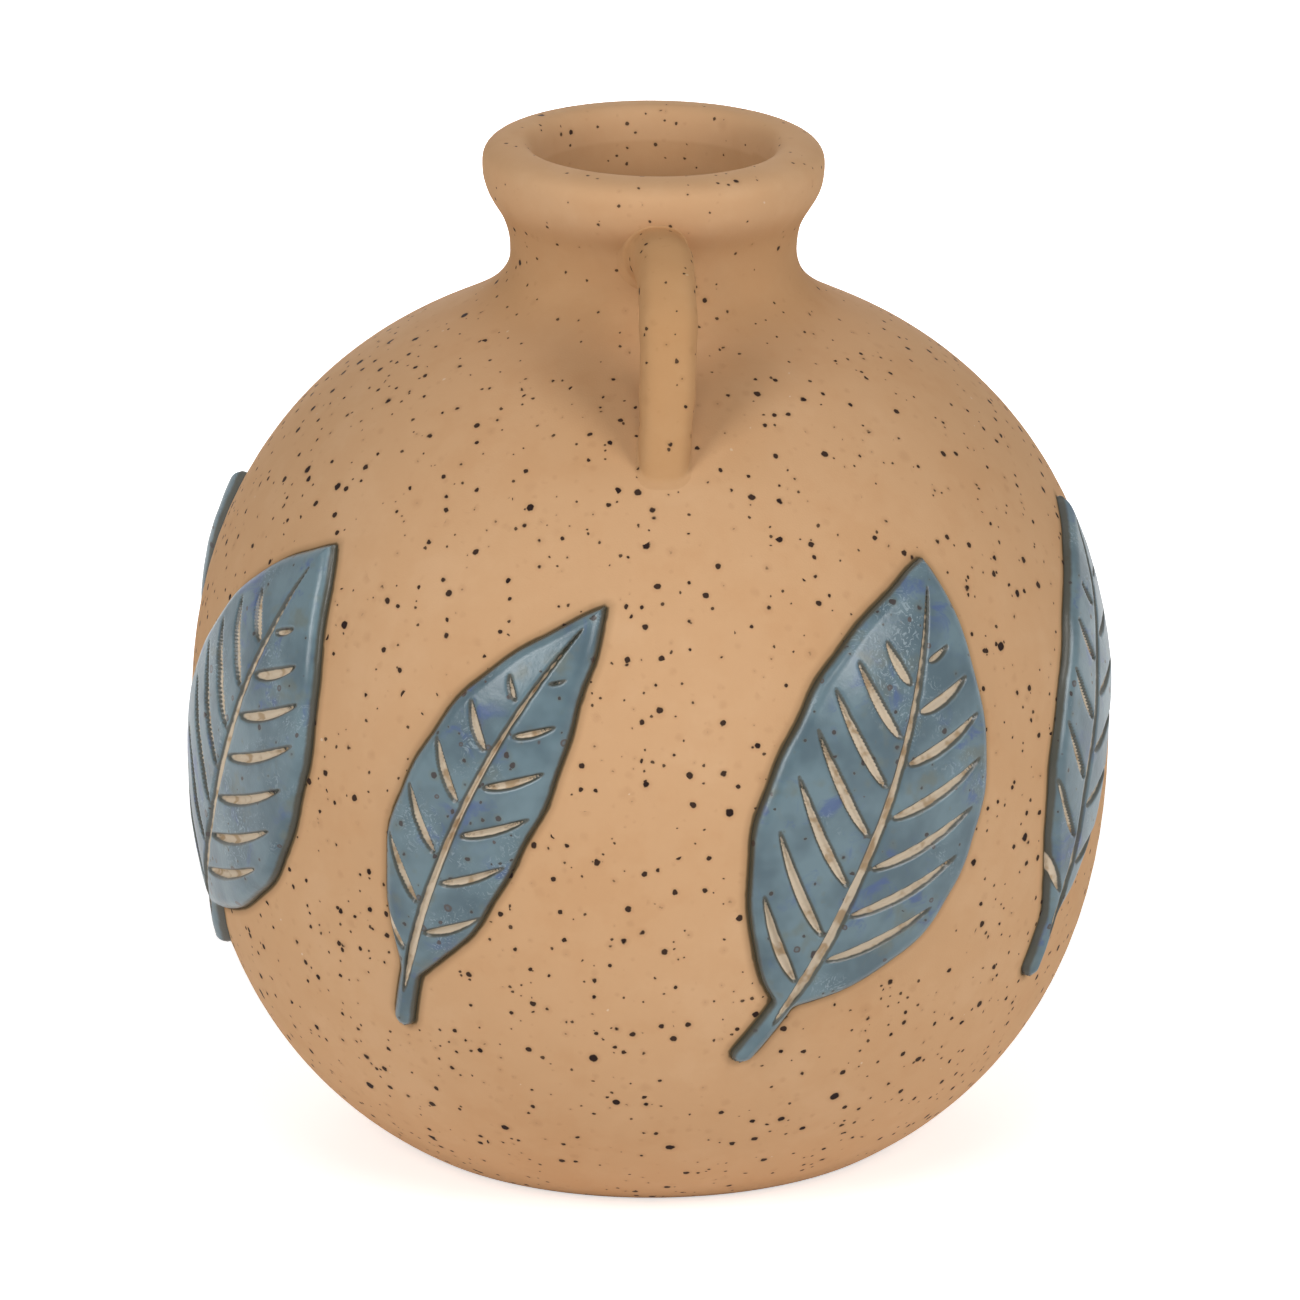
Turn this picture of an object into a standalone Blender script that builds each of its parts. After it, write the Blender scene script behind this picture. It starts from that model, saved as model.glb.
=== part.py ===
"""A round-bellied stoneware jug, 200 mm high.

It is made the way a potter makes it: a thrown belly with a turned foot, a separately thrown
neck with a rolled lip whose spigot drops into the shoulder, a pulled loop handle luted to neck
and shoulder, and a ring of leaves cut from a clay slab and laid on the belly. Each piece is its
own solid, held off its neighbour by the thickness of the slip that joins them.

The frame: +Z is up, the origin is the centre of the foot, and the handle points to -Y.
"""

import math

import bmesh
import bpy
import numpy as np

MM = 0.001

# Belly: the outside is widest at BELLY_Z and runs down to the foot and up to the shoulder
# along two superellipse quarters.
BELLY_RADIUS = 91 * MM
BELLY_Z = 82.5 * MM
FOOT_RADIUS = 53 * MM
SHOULDER_RADIUS = 44.9 * MM
SHOULDER_Z = 162.5 * MM
LOWER_POWER = 2.35
UPPER_POWER = 2.2
WALL = 5.5 * MM

# Foot: a flat ring round a shallow turned recess, with a rounded floor above it.
FOOT_RING_WIDTH = 9 * MM
FOOT_RECESS = 1.5 * MM
FOOT_ROUND = 1.2 * MM
FLOOR_Z = 8 * MM
FLOOR_CURVE_RISE = 6 * MM
FLOOR_CURVE_RUN = 16 * MM

# Neck: waist, rolled lip, bore, and the spigot that sits in the shoulder's opening. The lip is
# thick, with a broad top: its two sides are superellipse quarters that meet on its crest, and its
# inner edge stands in over the bore by a small ledge.
WAIST_RADIUS = 27.9 * MM
WAIST_Z = 177.4 * MM
LIP_RADIUS = 33.2 * MM
LIP_Z = 195.6 * MM
CREST_RADIUS = 26.5 * MM
CREST_Z = 200 * MM
LIP_OUTER_POWER = 2.7
LIP_INNER_POWER = 2.4
MOUTH_RADIUS = 22.9 * MM
MOUTH_Z = 193.2 * MM
MOUTH_LEDGE = 0.5 * MM
BORE_RADIUS = 23.4 * MM
SPIGOT_LENGTH = 3.5 * MM
# How far the neck's two curves keep the direction of their ends: the fillet's ends as shares
# of its span, the flare's as shares of its height.
FILLET_AT_SHOULDER = 0.40
FILLET_AT_WAIST = 0.33
FLARE_AT_WAIST = 0.55
FLARE_AT_LIP = 0.45

# Handle: a pulled strap in the plane X = 0, thicker at its two roots. Its section is a square
# with well-rounded corners, a superellipse of this power.
HANDLE_RADIUS = 5.2 * MM
HANDLE_SQUARENESS = 3.2
HANDLE_ROUTE = (
    # reach from the jug's axis, height, thickness as a share of HANDLE_RADIUS
    (25.5 * MM, 183.2 * MM, 1.35),
    (32.0 * MM, 184.6 * MM, 1.14),
    (41.0 * MM, 184.2 * MM, 1.06),
    (50.0 * MM, 179.4 * MM, 1.05),
    (55.8 * MM, 170.2 * MM, 1.03),
    (58.8 * MM, 158.5 * MM, 0.97),
    (60.4 * MM, 149.5 * MM, 0.94),
    (61.4 * MM, 142.0 * MM, 1.06),
)

# Leaves: a ring of slanting leaves on the belly, broad and slender by turns. The two powers
# shape the swell of a leaf's width from its base and from its tip.
LEAF_PAIRS = 4
LEAF_TILT = math.radians(24)
LEAF_RISE = 5 * MM
LEAF_THICKNESS = 2.6 * MM
LEAF_STALK_RADIUS = 2.3 * MM
LEAF_TIP_RADIUS = 0.5 * MM
LEAF_BASE_POWER = 0.75
LEAF_TIP_POWER = 0.9
BROAD_LEAF = {"blade": 90 * MM, "stalk": 14 * MM, "half_width": 24 * MM, "bow": 4 * MM}
SLENDER_LEAF = {"blade": 84 * MM, "stalk": 12 * MM, "half_width": 13.5 * MM, "bow": -5 * MM}
# Places across a leaf, from the midrib (0) to its edge (1), with the share of the full
# thickness that it has there: a cut midrib, a full crown and a rounded edge.
LEAF_SECTION = ((0.0, 0.62), (0.10, 1.0), (0.55, 1.0), (0.86, 0.92), (1.0, 0.45))

SLIP = 0.3 * MM  # thickness of the slip between two joined pieces

# How finely the pieces are faceted
TURNS = 60
OUTER_POINTS = 19
INNER_POINTS = 15
FLOOR_POINTS = 4
FLARE_POINTS = 6
FILLET_POINTS = 7
LIP_POINTS = 5
HANDLE_SIDES = 20
HANDLE_STEPS = 4
LEAF_STATIONS = 22
MERGE = 0.01 * MM


# Profiles


def superellipse(share, power):
    """Radius, as a share of the greatest, at a height that is a share of the reach."""
    return max(0.0, 1 - abs(share) ** power) ** (1 / power)


def reach_for(radius, height, power):
    """How far the belly's curve would run to close on the axis, if it passes this point."""
    return height / superellipse(radius / BELLY_RADIUS, power)


LOWER_REACH = reach_for(FOOT_RADIUS, BELLY_Z, LOWER_POWER)
UPPER_REACH = reach_for(SHOULDER_RADIUS, SHOULDER_Z - BELLY_Z, UPPER_POWER)


def belly_radius(z, inset=0.0):
    """Radius of the belly at height z, on the outside or at a depth inside the wall."""
    if z < BELLY_Z:
        reach, power = LOWER_REACH, LOWER_POWER
    else:
        reach, power = UPPER_REACH, UPPER_POWER
    return (BELLY_RADIUS - inset) * superellipse((z - BELLY_Z) / (reach - inset), power)


def belly_line(z_from, z_to, count, inset=0.0):
    """Points down or up the belly, closer together towards the ends, where it curves more."""
    spread = [0.5 - 0.5 * math.cos(math.pi * i / (count - 1)) for i in range(count)]
    heights = [z_from + (z_to - z_from) * share for share in spread]
    return [(belly_radius(z, inset), z) for z in heights]


def bezier(a, b, c, d, count):
    """Points on a cubic curve after its first end, up to and with its last."""
    points = []
    for i in range(1, count + 1):
        t = i / count
        weights = ((1 - t) ** 3, 3 * t * (1 - t) ** 2, 3 * t * t * (1 - t), t**3)
        points.append(tuple(sum(w * p[k] for w, p in zip(weights, (a, b, c, d))) for k in (0, 1)))
    return points


def lip_side(radius, z, power):
    """One side of the lip, from just below its crest down to this radius and height."""
    points = []
    for i in range(1, LIP_POINTS + 1):
        turn = math.pi / 2 * i / LIP_POINTS
        aside = math.sin(turn) ** (2 / power)
        above = math.cos(turn) ** (2 / power)
        points.append((CREST_RADIUS + (radius - CREST_RADIUS) * aside, z + (CREST_Z - z) * above))
    return points


def neck_outside():
    """From the lip's outer side down over the waist to the feathered edge on the shoulder."""
    waist = (WAIST_RADIUS, WAIST_Z)
    edge = (SHOULDER_RADIUS, SHOULDER_Z)
    lip = (LIP_RADIUS, LIP_Z)
    drop = LIP_Z - WAIST_Z
    below = (belly_radius(SHOULDER_Z - 1 * MM), SHOULDER_Z - 1 * MM)
    slope = np.subtract(edge, below)
    slope = slope / np.linalg.norm(slope)
    span = math.dist(edge, waist)
    below_lip = (LIP_RADIUS, LIP_Z - FLARE_AT_LIP * drop)
    above_waist = (WAIST_RADIUS, WAIST_Z + FLARE_AT_WAIST * drop)
    below_waist = (WAIST_RADIUS, WAIST_Z - FILLET_AT_WAIST * span)
    along_shoulder = tuple(np.add(edge, FILLET_AT_SHOULDER * span * slope))
    flare = bezier(lip, below_lip, above_waist, waist, FLARE_POINTS)
    fillet = bezier(waist, below_waist, along_shoulder, edge, FILLET_POINTS)
    return [lip, *flare, *fillet]


def body_profile():
    """Floor, inner wall, shoulder edge, outer wall and foot, in the order that faces out."""
    inner_top = belly_radius(SHOULDER_Z, WALL)
    turn_z = FLOOR_Z + FLOOR_CURVE_RISE
    turn = (belly_radius(turn_z, WALL), turn_z)
    floor_edge = (turn[0] - FLOOR_CURVE_RUN, FLOOR_Z)
    corner = (belly_radius(FLOOR_Z, WALL), FLOOR_Z)
    floor = [(0, FLOOR_Z), floor_edge, *bezier(floor_edge, corner, corner, turn, FLOOR_POINTS)]
    inside = belly_line(turn_z, SHOULDER_Z, INNER_POINTS, WALL)[1:-1]
    outside = belly_line(SHOULDER_Z, FOOT_ROUND, OUTER_POINTS)
    foot_out = outside[-1][0] - FOOT_ROUND
    foot_in = foot_out - FOOT_RING_WIDTH
    foot = [(foot_out, 0), (foot_in, 0), (foot_in - FOOT_RECESS, FOOT_RECESS), (0, FOOT_RECESS)]
    return [*floor, *inside, (inner_top, SHOULDER_Z), *outside, *foot]


def neck_profile():
    """The neck's closed outline, starting at the lip's outer side and running down it."""
    seat_z = SHOULDER_Z + SLIP
    spigot = belly_radius(SHOULDER_Z, WALL) - SLIP
    outside = [(r, max(z, seat_z)) for r, z in neck_outside()]
    end_z = seat_z - SPIGOT_LENGTH
    foot = [(spigot, seat_z), (spigot, end_z), (BORE_RADIUS, end_z)]
    bore = [(BORE_RADIUS, WAIST_Z), (BORE_RADIUS, MOUTH_Z - MOUTH_LEDGE)]
    inner_side = lip_side(MOUTH_RADIUS, MOUTH_Z, LIP_INNER_POWER)[::-1]
    outer_side = lip_side(LIP_RADIUS, LIP_Z, LIP_OUTER_POWER)[:-1]
    return [*outside, *foot, *bore, *inner_side, (CREST_RADIUS, CREST_Z), *outer_side]


def envelope_profile():
    """The whole jug's outside as one solid, larger by the slip: what a luted piece is fitted to."""
    line = np.array(neck_outside() + belly_line(SHOULDER_Z, FOOT_ROUND, OUTER_POINTS)[1:])
    ahead = np.gradient(line, axis=0)
    normal = np.column_stack((-ahead[:, 1], ahead[:, 0]))
    normal /= np.linalg.norm(normal, axis=1)[:, None]
    grown = [tuple(point) for point in line + SLIP * normal]
    return [(0, grown[0][1]), *grown, (0, grown[-1][1])]


# Building blocks


def clear_scene():
    for obj in list(bpy.data.objects):
        bpy.data.objects.remove(obj)


def new_collection(name):
    collection = bpy.data.collections.new(name)
    bpy.context.scene.collection.children.link(collection)
    return collection


def new_material(name, colour, roughness):
    material = bpy.data.materials.new(name)
    material.use_nodes = True
    shader = material.node_tree.nodes["Principled BSDF"]
    shader.inputs["Base Color"].default_value = (*colour, 1)
    shader.inputs["Roughness"].default_value = roughness
    shader.inputs["Metallic"].default_value = 0.0
    return material


def add_object(name, data, collection, material=None):
    obj = bpy.data.objects.new(name, data)
    collection.objects.link(obj)
    if material:
        obj.data.materials.append(material)
    return obj


def turned(name, profile, collection, material=None, closed=False):
    """A profile in the plane Y = 0, turned round the Z axis."""
    mesh = bpy.data.meshes.new(name)
    edges = [(i, i + 1) for i in range(len(profile) - 1)]
    if closed:
        edges.append((len(profile) - 1, 0))
    mesh.from_pydata([(r, 0, z) for r, z in profile], edges, [])
    obj = add_object(name, mesh, collection, material)
    screw = obj.modifiers.new("turn", "SCREW")
    screw.axis = "Z"
    screw.steps = TURNS
    screw.render_steps = TURNS
    screw.use_merge_vertices = True
    screw.merge_threshold = MERGE
    screw.use_smooth_shade = True
    return obj


def hide_cutter(obj):
    obj.hide_render = True
    obj.display_type = "WIRE"


# Pieces


def handle_section(collection):
    """The strap's section, as a closed guide curve that runs clockwise, so that the strap faces out."""
    curve = bpy.data.curves.new("handle_section", "CURVE")
    spline = curve.splines.new("POLY")
    spline.points.add(HANDLE_SIDES - 1)
    spline.use_cyclic_u = True
    for i, point in enumerate(spline.points):
        angle = -math.tau * i / HANDLE_SIDES
        x, y = math.cos(angle), math.sin(angle)
        stretch = (abs(x) ** HANDLE_SQUARENESS + abs(y) ** HANDLE_SQUARENESS) ** (1 / HANDLE_SQUARENESS)
        point.co = (HANDLE_RADIUS * x / stretch, HANDLE_RADIUS * y / stretch, 0, 1)
    section = add_object("handle_section", curve, collection)
    hide_cutter(section)
    return section


def make_handle(collection, material, envelope, section):
    """The loop, pulled through the route's points and cut to lie on neck and shoulder."""
    curve = bpy.data.curves.new("handle_route", "CURVE")
    curve.dimensions = "3D"
    curve.bevel_mode = "OBJECT"
    curve.bevel_object = section
    curve.resolution_u = HANDLE_STEPS
    curve.use_fill_caps = True
    spline = curve.splines.new("BEZIER")
    spline.bezier_points.add(len(HANDLE_ROUTE) - 1)
    for point, (reach, z, share) in zip(spline.bezier_points, HANDLE_ROUTE):
        point.co = (0, -reach, z)
        point.radius = share
        point.handle_left_type = "AUTO"
        point.handle_right_type = "AUTO"
    strap = add_object("handle_route", curve, collection)
    graph = bpy.context.evaluated_depsgraph_get()
    mesh = bpy.data.meshes.new_from_object(strap.evaluated_get(graph))
    welded = bmesh.new()
    welded.from_mesh(mesh)
    bmesh.ops.remove_doubles(welded, verts=welded.verts, dist=MERGE)
    welded.to_mesh(mesh)
    welded.free()
    handle = add_object("handle", mesh, collection, material)
    handle.matrix_world = strap.matrix_world
    bpy.data.objects.remove(strap)
    mesh.shade_smooth()
    fit = handle.modifiers.new("fit_to_jug", "BOOLEAN")
    fit.operation = "DIFFERENCE"
    fit.solver = "EXACT"
    fit.object = envelope
    return handle


def meridian():
    """Heights and lengths along the belly's outside, with length 0 at its widest place."""
    heights = np.linspace(0.0, SHOULDER_Z, 600)
    radii = np.array([belly_radius(z) for z in heights])
    steps = np.hypot(np.diff(heights), np.diff(radii))
    lengths = np.concatenate(([0.0], np.cumsum(steps)))
    return heights, lengths - np.interp(BELLY_Z, heights, lengths)


def on_belly(azimuth, across, up, lift, line):
    """The point over the belly at these lengths from the place on its widest line at azimuth."""
    heights, lengths = line
    z = float(np.interp(up, lengths, heights))
    radius = belly_radius(z)
    slope = (belly_radius(z + 0.1 * MM) - belly_radius(z - 0.1 * MM)) / (0.2 * MM)
    outward = 1 / math.hypot(1, slope)
    turn = azimuth + across / radius
    reach = radius + lift * outward
    return (reach * math.sin(turn), -reach * math.cos(turn), z - lift * outward * slope)


def leaf_half_width(leaf, along):
    """Half the leaf's width at a length from the end of its stalk."""
    blade = min(max((along - leaf["stalk"]) / leaf["blade"], 0.0), 1.0)
    widest = LEAF_BASE_POWER / (LEAF_BASE_POWER + LEAF_TIP_POWER)
    swell = (blade / widest) ** LEAF_BASE_POWER
    swell *= ((1 - blade) / (1 - widest)) ** LEAF_TIP_POWER
    least = LEAF_STALK_RADIUS + (LEAF_TIP_RADIUS - LEAF_STALK_RADIUS) * blade
    return max(least, leaf["half_width"] * swell)


def make_leaf(name, leaf, azimuth, line, collection, material):
    """A leaf-shaped grid laid on the belly, thickened outwards by its section."""
    section = [(-place, share) for place, share in LEAF_SECTION[:0:-1]] + list(LEAF_SECTION)
    columns = len(section) - 1
    length = leaf["stalk"] + leaf["blade"]
    grid = bmesh.new()
    bmesh.ops.create_grid(grid, x_segments=columns, y_segments=LEAF_STATIONS, size=1)
    crown = []
    for vertex in grid.verts:
        place, share = section[round((vertex.co.x + 1) / 2 * columns)]
        # stations crowd towards the two ends, where the outline turns fastest
        station = 0.5 - 0.5 * math.cos(math.pi * (vertex.co.y + 1) / 2)
        along = station * length
        aside = place * leaf_half_width(leaf, along)
        aside += leaf["bow"] * (1 - (2 * station - 1) ** 2)
        along -= length / 2
        across = aside * math.cos(LEAF_TILT) + along * math.sin(LEAF_TILT)
        up = along * math.cos(LEAF_TILT) - aside * math.sin(LEAF_TILT) + LEAF_RISE
        vertex.co = on_belly(azimuth, across, up, SLIP, line)
        at_end = station < 0.001 or station > 0.999
        crown.append(LEAF_SECTION[-1][1] if at_end else share)
    mesh = bpy.data.meshes.new(name)
    grid.to_mesh(mesh)
    grid.free()
    mesh.shade_smooth()
    obj = add_object(name, mesh, collection, material)
    group = obj.vertex_groups.new(name="crown")
    for index, share in enumerate(crown):
        group.add([index], share, "REPLACE")
    slab = obj.modifiers.new("slab", "SOLIDIFY")
    slab.thickness = LEAF_THICKNESS
    slab.offset = 1
    slab.vertex_group = "crown"
    slab.thickness_vertex_group = 0.0
    return obj


def make_leaves(collection, material):
    line = meridian()
    pitch = math.tau / LEAF_PAIRS
    for pair in range(LEAF_PAIRS):
        broad = (pair + 0.25) * pitch
        slender = (pair + 0.75) * pitch
        make_leaf(f"leaf_broad_{pair + 1}", BROAD_LEAF, broad, line, collection, material)
        make_leaf(f"leaf_slender_{pair + 1}", SLENDER_LEAF, slender, line, collection, material)


def main():
    clear_scene()
    jug = new_collection("ceramic_jug")
    cutters = new_collection("cutters")
    clay = new_material("speckled_clay", (0.56, 0.33, 0.17), 0.85)
    glaze = new_material("blue_glaze", (0.14, 0.20, 0.23), 0.4)
    turned("body", body_profile(), jug, clay)
    turned("neck", neck_profile(), jug, clay, closed=True)
    envelope = turned("jug_envelope", envelope_profile(), cutters)
    hide_cutter(envelope)
    make_handle(jug, clay, envelope, handle_section(cutters))
    make_leaves(jug, glaze)


main()
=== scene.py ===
"""The looks of a round-bellied stoneware jug: bare speckled clay, and a ring of raised leaves
under a satin blue glaze, with their ribs cut through to the clay.

The sizes are those of the solids: +Z is up, the origin is the centre of the foot, and the
handle points to -Y. Lengths are in metres.
"""

import math

import bmesh
import bpy
import numpy as np
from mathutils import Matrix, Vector


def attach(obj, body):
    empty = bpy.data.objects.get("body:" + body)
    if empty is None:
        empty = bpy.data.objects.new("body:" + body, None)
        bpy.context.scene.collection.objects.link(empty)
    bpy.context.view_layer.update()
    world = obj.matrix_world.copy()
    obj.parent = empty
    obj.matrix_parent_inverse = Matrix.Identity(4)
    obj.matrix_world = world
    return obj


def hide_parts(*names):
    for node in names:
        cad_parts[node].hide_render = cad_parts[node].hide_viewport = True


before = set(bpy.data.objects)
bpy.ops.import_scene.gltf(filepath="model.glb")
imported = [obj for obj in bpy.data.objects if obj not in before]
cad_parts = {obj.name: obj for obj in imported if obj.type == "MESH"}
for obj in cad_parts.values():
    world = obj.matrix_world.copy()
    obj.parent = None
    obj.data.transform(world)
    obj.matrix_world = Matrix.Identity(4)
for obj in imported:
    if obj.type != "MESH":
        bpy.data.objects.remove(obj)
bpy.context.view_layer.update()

MM = 0.001

# Belly, foot and wall
BELLY_RADIUS = 91 * MM
BELLY_Z = 82.5 * MM
FOOT_RADIUS = 53 * MM
SHOULDER_RADIUS = 44.9 * MM
SHOULDER_Z = 162.5 * MM
LOWER_POWER = 2.35
UPPER_POWER = 2.2
WALL = 5.5 * MM
FOOT_RING_WIDTH = 9 * MM
FOOT_RECESS = 1.5 * MM
FOOT_ROUND = 1.2 * MM
FLOOR_Z = 8 * MM
FLOOR_CURVE_RISE = 6 * MM
FLOOR_CURVE_RUN = 16 * MM

# Neck and rolled lip
WAIST_RADIUS = 27.9 * MM
WAIST_Z = 177.4 * MM
LIP_RADIUS = 33.2 * MM
LIP_Z = 195.6 * MM
CREST_RADIUS = 26.5 * MM
CREST_Z = 200 * MM
LIP_OUTER_POWER = 2.7
LIP_INNER_POWER = 2.4
MOUTH_RADIUS = 22.9 * MM
MOUTH_Z = 193.2 * MM
BORE_RADIUS = 23.4 * MM
SPIGOT_LENGTH = 3.5 * MM
SLIP = 0.3 * MM
FILLET_AT_SHOULDER = 0.40
FILLET_AT_WAIST = 0.33
FLARE_AT_WAIST = 0.55
FLARE_AT_LIP = 0.45
# The neck is set on by hand: it leans a little to the right, and its rim settles to the right
# and to the front, by these slopes and as a whole.
NECK_LEAN = 0.8 * MM
RIM_FALL_RIGHT = 0.0107
RIM_FALL_FRONT = 0.029
RIM_DROP = 0.83 * MM

# Handle: reach from the axis, height, thickness as a share of HANDLE_RADIUS, and how far the
# hand-pulled strap leans aside. Its section is a square with well-rounded corners, and rounder
# at the neck, up to these shares of its length.
HANDLE_RADIUS = 5.2 * MM
HANDLE_SQUARENESS = 3.2
HANDLE_ROOT_SQUARENESS = 2.2
HANDLE_SQUARES_UP = (0.1, 0.4)
HANDLE_ROUTE = (
    (25.5 * MM, 183.2 * MM, 1.14, -0.6 * MM),
    (32.0 * MM, 184.6 * MM, 1.10, 0.0 * MM),
    (41.0 * MM, 184.2 * MM, 1.06, 0.8 * MM),
    (50.0 * MM, 179.4 * MM, 1.05, 1.0 * MM),
    (55.8 * MM, 170.2 * MM, 1.03, 0.8 * MM),
    (58.8 * MM, 158.5 * MM, 0.97, 0.2 * MM),
    (60.4 * MM, 149.5 * MM, 0.92, -0.4 * MM),
    (61.4 * MM, 142.0 * MM, 0.92, -0.8 * MM),
)
HANDLE_TOP_FILLET = 1.5 * MM
HANDLE_LOW_FILLET = 0.7 * MM
HANDLE_BLEND = 1.3 * MM
HANDLE_RINGS = 150
HANDLE_SIDES = 56

# Painted shade in the darker colour of the handle's wet-finger smoothing, on the neck's waist, on the
# shoulder in the handle's shadows and in the bore: how strong, as a share of the handle's darkening, and
# from where to where it fades in, in height, aside of the handle or over the jug's outside. The handle's
# own darker clay, smoothed with a wet finger, fades in from its root.
WAIST_PAINTED_SHADE = 0.7
WAIST_SHADE_FROM_COLLAR = (163 * MM, 172 * MM)
PAINTED_SHADE_FROM_LIP = (190 * MM, 184 * MM)
HANDLE_PAINTED_SHADOW = 0.35
HANDLE_SHADOW_FROM_SHOULDER = (145 * MM, 153 * MM)
HANDLE_SHADOW_FROM_ASIDE = (30 * MM, 12 * MM)
WIPED_FROM_ROOT = (-0.6 * MM, 1.4 * MM)
BORE_PAINTED_SHADE = 0.4

# How many coarse iron grains the smoother pieces have, as a share of the belly's
COARSE_ON_NECK = 0.25
COARSE_ON_HANDLE = 0.7

# Leaves on the belly
LEAF_PAIRS = 4
LEAF_TILT = math.radians(24)
LEAF_RISE = 5 * MM
LEAF_THICKNESS = 2.6 * MM
LEAF_EDGE_ROUND = 2.8 * MM
LEAF_STALK_RADIUS = 2.3 * MM
LEAF_TIP_RADIUS = 0.6 * MM
LEAF_FOOT_POWER = 0.75
LEAF_TIP_POWER = 0.9
LEAF_SINK = 0.5 * MM
LEAF_BACK_SINK = 0.8 * MM
LEAF_BACK_COLUMNS = 8
BROAD_LEAF = {
    "blade": 90 * MM,
    "stalk": 14 * MM,
    "half_width": 24 * MM,
    "bow": 4 * MM,
    "ribs": 7,
    "rib_half_width": 0.95 * MM,
    "rows": 240,
    "columns": 96,
}
SLENDER_LEAF = {
    "blade": 84 * MM,
    "stalk": 12 * MM,
    "half_width": 13.5 * MM,
    "bow": -5 * MM,
    "ribs": 6,
    "rib_half_width": 0.75 * MM,
    "rows": 220,
    "columns": 64,
}
CUT_DEPTH = 1.3 * MM
CUT_WALL = 0.45 * MM
# Where the midrib starts on the stalk and ends on the blade, as shares of their lengths, and how
# much wider than the side ribs it is
MIDRIB_START = 0.75
MIDRIB_END = 0.93
MIDRIB_WIDER = 1.15
# The side ribs: the first pair's place and all their spread as shares of the blade, how far a
# pair's two are shifted up and down as a share of their spacing, and each one's way outwards
RIBS_START = 0.10
RIBS_SPREAD = 0.66
RIBS_SHIFT = 0.25
RIB_CLEAR_OF_MIDRIB = 1.7 * MM
RIB_REACH = 0.74
RIB_SLANT = 0.62
RIB_BEND = 0.32
RIB_UNEVEN = 0.4 * MM
# The clay that glaze can fume on to, and that gets painted contact shade at the leaves' foot: as far
# round from a leaf's middle, in radians, and as far below the shoulder; all other clay counts as this far
# from a leaf
FUMED_AND_SHADED_TURN = 0.75
FUMED_AND_SHADED_BELOW_SHOULDER = 5 * MM
CLEAR_OF_LEAVES_MM = 30.0

# Mesh steps of the turned pieces, which have close rings beside the joint that they share
TURNS = 288
SEAM_STEP = 0.2 * MM
OUTER_STEP = 1.3 * MM
INNER_STEP = 3 * MM
FOOT_STEP = 2 * MM
FLOOR_STEP = 6 * MM
NECK_STEP = 0.7 * MM

# The photograph's view: a long lens a little above the jug, slightly left of the handle
PHOTO_SIZE = 1300
FOCAL_LENGTH_PIXELS = 7672
CAMERA_DISTANCE = 1517 * MM
CAMERA_ELEVATION = math.radians(17.61)
CAMERA_AZIMUTH = math.radians(-2.7)
CAMERA_HEIGHT_ABOVE = 101.1 * MM
CAMERA_AIM = Vector((0, 0, 95.3 * MM))
SENSOR_MM = 36


# Profiles


def superellipse(share, power):
    """Radius, as a share of the greatest, at a height that is a share of the reach."""
    return np.maximum(0.0, 1 - np.abs(share) ** power) ** (1 / power)


LOWER_REACH = BELLY_Z / superellipse(FOOT_RADIUS / BELLY_RADIUS, LOWER_POWER)
UPPER_REACH = (SHOULDER_Z - BELLY_Z) / superellipse(SHOULDER_RADIUS / BELLY_RADIUS, UPPER_POWER)


def belly_radius(z, inset=0.0):
    """Radius of the belly at height z, on the outside or at a depth inside the wall."""
    z = np.asarray(z, float)
    low = superellipse((z - BELLY_Z) / (LOWER_REACH - inset), LOWER_POWER)
    high = superellipse((z - BELLY_Z) / (UPPER_REACH - inset), UPPER_POWER)
    return (BELLY_RADIUS - inset) * np.where(z < BELLY_Z, low, high)


def smooth_step(low, high, value):
    t = np.clip((value - low) / (high - low), 0, 1)
    return t * t * (3 - 2 * t)


def bezier(a, b, c, d, count=60):
    """Points along a cubic curve, with both its ends."""
    t = np.linspace(0, 1, count)[:, None]
    a, b, c, d = (np.array(p, float) for p in (a, b, c, d))
    return (1 - t) ** 3 * a + 3 * t * (1 - t) ** 2 * b + 3 * t * t * (1 - t) * c + t**3 * d


def even(points, step):
    """The same line with points about one step apart, and with its ends kept."""
    points = np.asarray(points, float)
    lengths = np.concatenate(([0], np.cumsum(np.linalg.norm(np.diff(points, axis=0), axis=1))))
    count = max(2, int(math.ceil(lengths[-1] / step)) + 1)
    at = np.linspace(0, lengths[-1], count)
    return np.column_stack([np.interp(at, lengths, points[:, k]) for k in range(points.shape[1])])


def joined(*lines):
    """Lines that meet end to end, as one line without doubled points."""
    whole = [np.asarray(lines[0], float)]
    for line in lines[1:]:
        whole.append(np.asarray(line, float)[1:])
    return np.concatenate(whole)


def arc(centre, radius, start, end, count=7):
    """Points on a circle's arc between two angles in degrees."""
    angles = np.radians(np.linspace(start, end, count))
    return np.column_stack((centre[0] + radius * np.cos(angles), centre[1] + radius * np.sin(angles)))


def lip_side(radius, z, power):
    """One side of the lip, from its crest down to this radius and height."""
    turn = np.linspace(0, math.pi / 2, 60)
    aside = np.sin(turn) ** (2 / power)
    above = np.cos(turn) ** (2 / power)
    return np.column_stack((CREST_RADIUS + (radius - CREST_RADIUS) * aside, z + (CREST_Z - z) * above))


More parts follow.
